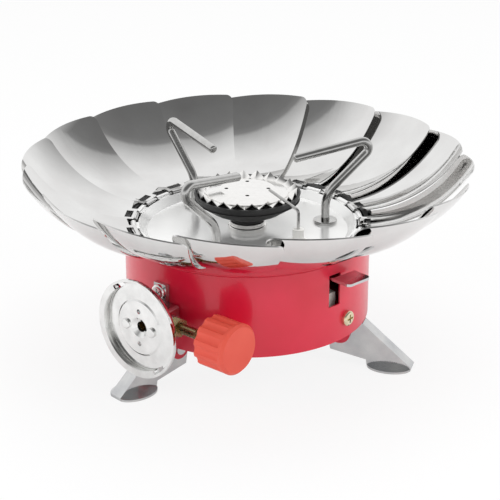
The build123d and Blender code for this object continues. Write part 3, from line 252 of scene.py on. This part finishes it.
# %% Coral plastic
coral_plastic, tree, shader, place = start_finish("moulded_coral_abs")
shader.inputs["IOR"].default_value = 1.53
grain = add(tree, "ShaderNodeTexNoise", {"Scale": 1 / (0.5 * MM), "Detail": 2.0}, {"Vector": place})
flow = add(tree, "ShaderNodeTexNoise", {"Scale": 1 / (14 * MM), "Detail": 2.0}, {"Vector": place})
tone = add(tree, "ShaderNodeValToRGB", links={"Fac": (flow, "Fac")})
tone.color_ramp.elements[0].color = linear("#E64E3C")
tone.color_ramp.elements[1].color = linear("#F0634F")
gloss = add(tree, "ShaderNodeMapRange", {"To Min": 0.42, "To Max": 0.55}, {"Value": (grain, "Fac")})
bump = add(tree, "ShaderNodeBump", {"Strength": 0.08, "Distance": BUMP_DEPTH}, {"Height": (grain, "Fac")})
tree.links.new(tone.outputs["Color"], shader.inputs["Base Color"])
tree.links.new(gloss.outputs["Result"], shader.inputs["Roughness"])
tree.links.new(bump.outputs["Normal"], shader.inputs["Normal"])
print("made", coral_plastic.name)

# %% [markdown]
# ## Black heat-proof coating and painted shade
# The burner's bowl and tube are steel under a matt black coating that stands the flame.
# It is dusty rather than glossy, so the roughness is high and the grain of the coating shows as bump.
# The hinge tray takes the same black as painted shade: it fills the dark seen through the petals' windows and
# the dark line under their roots.

# %% Black coating and painted shade
black_coating_and_painted_shade, tree, shader, place = start_finish("black_heatproof_coating_and_painted_shade")
dust = add(tree, "ShaderNodeTexNoise", {"Scale": 1 / (1.2 * MM), "Detail": 6.0}, {"Vector": place})
tone = add(tree, "ShaderNodeValToRGB", links={"Fac": (dust, "Fac")})
tone.color_ramp.elements[0].color = linear("#1C1C1C")
tone.color_ramp.elements[1].color = linear("#353535")
gloss = add(tree, "ShaderNodeMapRange", {"To Min": 0.38, "To Max": 0.6}, {"Value": (dust, "Fac")})
bump = add(tree, "ShaderNodeBump", {"Strength": 0.12, "Distance": BUMP_DEPTH}, {"Height": (dust, "Fac")})
tree.links.new(tone.outputs["Color"], shader.inputs["Base Color"])
tree.links.new(gloss.outputs["Result"], shader.inputs["Roughness"])
tree.links.new(bump.outputs["Normal"], shader.inputs["Normal"])
print("made", black_coating_and_painted_shade.name)

# %% [markdown]
# ## Pressed burner steel
# The flame ring, the cap and the collar are stainless again, but pressed and never polished.
# They are bright and a little blurred, so the roughness sits between the petals' and the zinc's.

# %% Pressed burner steel
burner_steel, tree, shader, place = start_finish("pressed_burner_stainless")
shader.inputs["Metallic"].default_value = 1.0
press = add(tree, "ShaderNodeTexNoise", {"Scale": 1 / (2.5 * MM), "Detail": 4.0}, {"Vector": place})
tone = add(tree, "ShaderNodeValToRGB", links={"Fac": (press, "Fac")})
tone.color_ramp.elements[0].color = linear("#ECEBE9")
tone.color_ramp.elements[1].color = linear("#FAF9F7")
gloss = add(tree, "ShaderNodeMapRange", {"To Min": 0.1, "To Max": 0.2}, {"Value": (press, "Fac")})
bump = add(tree, "ShaderNodeBump", {"Strength": 0.05, "Distance": BUMP_DEPTH}, {"Height": (press, "Fac")})
tree.links.new(tone.outputs["Color"], shader.inputs["Base Color"])
tree.links.new(gloss.outputs["Result"], shader.inputs["Roughness"])
tree.links.new(bump.outputs["Normal"], shader.inputs["Normal"])
print("made", burner_steel.name)

# %% [markdown]
# ## Brass and yellow plating
# The valve's stem, its packing nut and the gas jet are turned brass, a dull olive gold from handling.
# The screw in the case is steel with a yellow passivated plating, which is paler and brighter.
# Both are metals with a slow tarnish between two golds and fine tool marks in the gloss,
# so one loop makes the two.

# %% Brass and yellow plating
golds = {
    "turned_brass": ("#8C7A57", "#B8A77F", 0.2, 0.34),
    "yellow_plated_screw": ("#D6C9A2", "#F0E7CC", 0.12, 0.22),
}
gold_finish = {}
for name, (dark, pale, smooth, rough) in golds.items():
    material, tree, shader, place = start_finish(name)
    shader.inputs["Metallic"].default_value = 1.0
    tarnish = add(tree, "ShaderNodeTexNoise", {"Scale": 1 / (6 * MM), "Detail": 4.0}, {"Vector": place})
    tone = add(tree, "ShaderNodeValToRGB", links={"Fac": (tarnish, "Fac")})
    tone.color_ramp.elements[0].position = 0.3
    tone.color_ramp.elements[0].color = linear(dark)
    tone.color_ramp.elements[1].position = 0.75
    tone.color_ramp.elements[1].color = linear(pale)
    tool_marks = add(tree, "ShaderNodeTexNoise", {"Scale": 1 / (0.6 * MM), "Detail": 2.0}, {"Vector": place})
    range_of_gloss = {"To Min": smooth, "To Max": rough}
    gloss = add(tree, "ShaderNodeMapRange", range_of_gloss, {"Value": (tool_marks, "Fac")})
    tree.links.new(tone.outputs["Color"], shader.inputs["Base Color"])
    tree.links.new(gloss.outputs["Result"], shader.inputs["Roughness"])
    gold_finish[name] = material
print("made", sorted(gold_finish))

# %% [markdown]
# ## Small fittings: ceramic, rubber, plastic and lead
# The igniter's insulator is glazed white ceramic, its housing off-white plastic, its lead a silicone sheath,
# and the seals are black rubber. Each differs from the next mainly in colour and gloss,
# so a loop builds them with one noise for the tone and the gloss together.

# %% Small fittings
fittings = {
    "glazed_white_ceramic": ("#E4E3DF", "#F2F1EE", 0.14, 0.24, 4.0),
    "black_seal_rubber": ("#161616", "#262625", 0.55, 0.75, 1.5),
    "moulded_offwhite_plastic": ("#D8D6CE", "#E6E4DD", 0.35, 0.5, 1.0),
    "silicone_lead_sheath": ("#8F8A80", "#A39E93", 0.5, 0.65, 2.0),
}
fitting_finish = {}
for name, (dark, pale, smooth, rough, grain_mm) in fittings.items():
    material, tree, shader, place = start_finish(name)
    speck = add(tree, "ShaderNodeTexNoise", {"Scale": 1 / (grain_mm * MM), "Detail": 3.0}, {"Vector": place})
    tone = add(tree, "ShaderNodeValToRGB", links={"Fac": (speck, "Fac")})
    tone.color_ramp.elements[0].color = linear(dark)
    tone.color_ramp.elements[1].color = linear(pale)
    gloss = add(tree, "ShaderNodeMapRange", {"To Min": smooth, "To Max": rough}, {"Value": (speck, "Fac")})
    bump = add(tree, "ShaderNodeBump", {"Strength": 0.04, "Distance": BUMP_DEPTH}, {"Height": (speck, "Fac")})
    tree.links.new(tone.outputs["Color"], shader.inputs["Base Color"])
    tree.links.new(gloss.outputs["Result"], shader.inputs["Roughness"])
    tree.links.new(bump.outputs["Normal"], shader.inputs["Normal"])
    fitting_finish[name] = material
print("made", sorted(fitting_finish))

# %% [markdown]
# ## Dress the pieces
# Each solid keeps its shape and takes the finish of the real piece, except the hinge tray, whose black is
# painted shade.
# The table reads like a parts list, so a finish can be changed in one place.

# %% Dress the pieces
petals = sorted(name for name in nodes if name.startswith("petal_"))
legs = sorted(name for name in nodes if name in ("leg_1", "leg_2", "leg_3"))
supports = sorted(name for name in nodes if name.startswith("pot_support_"))
dress = [
    (mirror_stainless, petals + ["hinge_ring"]),
    (satin_stainless, ["burner_plate"]),
    (drawn_wire, supports + ["support_eyelets", "electrode", "piezo_spring"]),
    (nickel_plate, ["canister_flange", "flange_rivets", "valve_screw"]),
    (zinc_plate, legs + ["leg_pins", "base_plate", "piezo_bracket", "bracket_nut", "valve_lock_nut",
                         "ignition_lever", "valve_body"]),
    (crimson_enamel, ["case", "leg_brackets"]),
    (coral_plastic, ["control_knob"]),
    # the hinge tray's black is painted shade for the dark seen through the petals' windows
    (black_coating_and_painted_shade, ["burner_bowl", "mixing_tube", "hinge_tray"]),
    (burner_steel, ["flame_ring", "burner_cap", "tube_collar"]),
    (gold_finish["turned_brass"], ["valve_stem", "packing_nut", "jet_holder", "gas_jet", "gas_pipe",
                                   "inlet_nozzle"]),
    (gold_finish["yellow_plated_screw"], ["bracket_screw"]),
    (fitting_finish["glazed_white_ceramic"], ["ceramic_insulator"]),
    (fitting_finish["black_seal_rubber"], ["inlet_seal", "stem_seal"]),
    (fitting_finish["moulded_offwhite_plastic"], ["piezo_body", "piezo_plunger"]),
    (fitting_finish["silicone_lead_sheath"], ["ignition_lead"]),
]
dressed = set()
for material, names in dress:
    for name in names:
        nodes[name].data.materials.clear()
        nodes[name].data.materials.append(material)
        dressed.add(name)
print("dressed:", len(dressed), "left plain:", sorted(set(nodes) - dressed))

# % [markdown]
# ## The igniter's spring
# Under the lever a coil spring pushes it back up. The solid coil keeps its length, so the pressed lever
# would cut through it. A welded copy takes its place.

# % Spring under the lever
mesh = nodes["piezo_spring"].data.copy()
coil = bmesh.new()
coil.from_mesh(mesh)
bmesh.ops.remove_doubles(coil, verts=coil.verts, dist=0.001 * MM)
coil.to_mesh(mesh)
coil.free()
spring = bpy.data.objects.new("igniter_spring", mesh)
bpy.context.scene.collection.objects.link(spring)
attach(spring, "stove")
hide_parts("piezo_spring")
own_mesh(spring)

# %% [markdown]
# ## The product table
# The stove stands on a plain white table. For the eye most of it glows with the background's white,
# so that the shadow stays soft. For the polished metal only a little of it glows:
# the legs and the dish then show that the table is darker under the stove.

# %% Table
GLOW_TO_EYE = 0.86
GLOW_ON_METAL = 0.4
TABLE_HALF = 4.0
table_finish, tree, shader, _ = start_finish("white_table")
tree.nodes.remove(shader)
soft_white = add(tree, "ShaderNodeBsdfDiffuse", {"Color": linear("#F4F4F4")})
paper_white = add(tree, "ShaderNodeEmission", {"Color": linear("#FFFFFF"), "Strength": 1.0})
ray = add(tree, "ShaderNodeLightPath")
eye_share = {"operation": "MULTIPLY", 1: GLOW_TO_EYE}
to_eye = add(tree, "ShaderNodeMath", eye_share, {0: (ray, "Is Camera Ray")})
metal_share = {"operation": "MULTIPLY", 1: GLOW_ON_METAL}
to_metal = add(tree, "ShaderNodeMath", metal_share, {0: (ray, "Is Glossy Ray")})
share = add(tree, "ShaderNodeMath", {"operation": "MAXIMUM"}, {0: (to_eye, "Value"), 1: (to_metal, "Value")})
mix = add(tree, "ShaderNodeMixShader", links={
    0: (share, "Value"), 1: (soft_white, "BSDF"), 2: (paper_white, "Emission")})
output = next(n for n in tree.nodes if n.type == "OUTPUT_MATERIAL")
tree.links.new(mix.outputs["Shader"], output.inputs["Surface"])

mesh = bpy.data.meshes.new("table")
sheet = bmesh.new()
bmesh.ops.create_grid(sheet, x_segments=1, y_segments=1, size=TABLE_HALF)
sheet.to_mesh(mesh)
sheet.free()
table = bpy.data.objects.new("table", mesh)
table.data.materials.append(table_finish)
bpy.context.scene.collection.objects.link(table)
table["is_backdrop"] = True
print("table made, metres across:", 2 * TABLE_HALF)

# %% [markdown]
# ## Studio light
# Polished sheet shows the room more than itself. Behind the stove stands a white wall, and the room
# behind the camera is dim: the far petals mirror it and turn dark, and the near ones mirror the wall.
# Between the two the room fades over, and low down, where the white table runs out, it stays fairly bright.
# The eye sees white all round, and the light that falls on dull surfaces is the same from every side.

# %% Room
world = bpy.data.worlds.new("white_wall_and_dim_room")
world.use_nodes = True
bpy.context.scene.world = world
tree = world.node_tree
tree.nodes.clear()
ray = add(tree, "ShaderNodeLightPath")
way = add(tree, "ShaderNodeTexCoord")
DIM_SIDE = {"operation": "DOT_PRODUCT", 1: (0.375, -0.927, 0.0)}
dimness = add(tree, "ShaderNodeVectorMath", DIM_SIDE, {0: (way, "Generated")})
height = add(tree, "ShaderNodeSeparateXYZ", links={0: (way, "Generated")})
depth = add(tree, "ShaderNodeMapRange", {"From Min": -0.7, "From Max": 0.7}, {"Value": (dimness, "Value")})
room = add(tree, "ShaderNodeValToRGB", links={"Fac": (depth, "Result")})
room.color_ramp.elements[0].position = 0.12
room.color_ramp.elements[0].color = linear("#FFFFFF")
room.color_ramp.elements[1].position = 0.92
room.color_ramp.elements[1].color = linear("#707070")
room_greys = {0.27: "#ECECEC", 0.42: "#CECECE", 0.51: "#B6B6B6", 0.55: "#8C8C8C", 0.62: "#7E7E7E"}
for position, grey in room_greys.items():
    room.color_ramp.elements.new(position).color = linear(grey)
LOW_BAND = {"From Min": 0.2, "From Max": 0.62, "To Min": 0.9, "To Max": 0.0}
low = add(tree, "ShaderNodeMapRange", LOW_BAND, {"Value": (height, "Z")})
LIGHTER_OF_TWO = {"data_type": "RGBA", "blend_type": "LIGHTEN", 0: 1.0}
wall = add(tree, "ShaderNodeMix", LIGHTER_OF_TWO, {6: (room, "Color"), 7: (low, "Result")})
EVEN_LIGHT = 0.45
even_light = add(tree, "ShaderNodeBackground", {"Color": linear("#FFFFFF"), "Strength": EVEN_LIGHT})
mirrored_room = add(tree, "ShaderNodeBackground", {"Strength": 1.0}, {"Color": (wall, 2)})
seen_white = add(tree, "ShaderNodeBackground", {"Color": linear("#FFFFFF"), "Strength": 1.0})
mirrored = add(tree, "ShaderNodeMixShader", links={
    0: (ray, "Is Glossy Ray"), 1: (even_light, "Background"), 2: (mirrored_room, "Background")})
mix = add(tree, "ShaderNodeMixShader", links={
    0: (ray, "Is Camera Ray"), 1: (mirrored, "Shader"), 2: (seen_white, "Background")})
add(tree, "ShaderNodeOutputWorld", links={"Surface": (mix, "Shader")})
print("room made of", len(tree.nodes), "nodes")

# %% [markdown]
# Three large soft lamps light the dull surfaces from above and from both sides.
# The polished ones would show them as hard squares, so the lamps are left out of reflections.

# %% Lamps
LAMP_AIM = Vector((0, 0, 0.06))


def lamp(name, place, size, watts):
    """A square soft lamp that looks at the stove."""
    light = bpy.data.lights.new(name, "AREA")
    light.size = size
    light.energy = watts
    lamp_object = bpy.data.objects.new(name, light)
    lamp_object.location = place
    aim = LAMP_AIM - Vector(place)
    lamp_object.rotation_euler = aim.to_track_quat("-Z", "Y").to_euler()
    lamp_object.visible_glossy = False
    bpy.context.scene.collection.objects.link(lamp_object)
    return lamp_object


softboxes = {
    "overhead_softbox": ((0.1, 0.2, 1.3), 1.0, 9.0),
    "left_softbox": ((-1.1, -0.5, 0.7), 0.8, 6.0),
    "right_softbox": ((1.1, -0.6, 0.7), 0.8, 6.0),
}
for name, (place, size, watts) in softboxes.items():
    lamp(name, place, size, watts)
print("lamps:", sorted(softboxes))

# %% [markdown]
# ## Camera
# The picture was taken a little above the stove, about 22 degrees down,
# with a long lens from about three quarters of a metre.

# %% Camera
LENS_MM = 116.0
SENSOR_MM = 36.0
CAMERA_PLACE = (0.0, -0.6866, 0.3293)
LOOK_DOWN = 22.2
LOOK_RIGHT = 0.1
camera_data = bpy.data.cameras.new("picture_camera")
camera_data.lens = LENS_MM
camera_data.sensor_width = SENSOR_MM
camera = bpy.data.objects.new("picture_camera", camera_data)
camera.location = CAMERA_PLACE
camera.rotation_euler = (radians(90 - LOOK_DOWN), 0.0, radians(-LOOK_RIGHT))
bpy.context.scene.collection.objects.link(camera)
bpy.context.scene.camera = camera
bpy.context.scene.view_settings.view_transform = "Standard"
print("camera lens in mm:", camera_data.lens)

# %% [markdown]
# ## Sizes
# The finishes must not change how big the stove is, so the box of the dressed stove is printed.

# %% Print the dressed size
low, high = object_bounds()
print("dressed size in mm:", [round(v / MM, 1) for v in high - low])
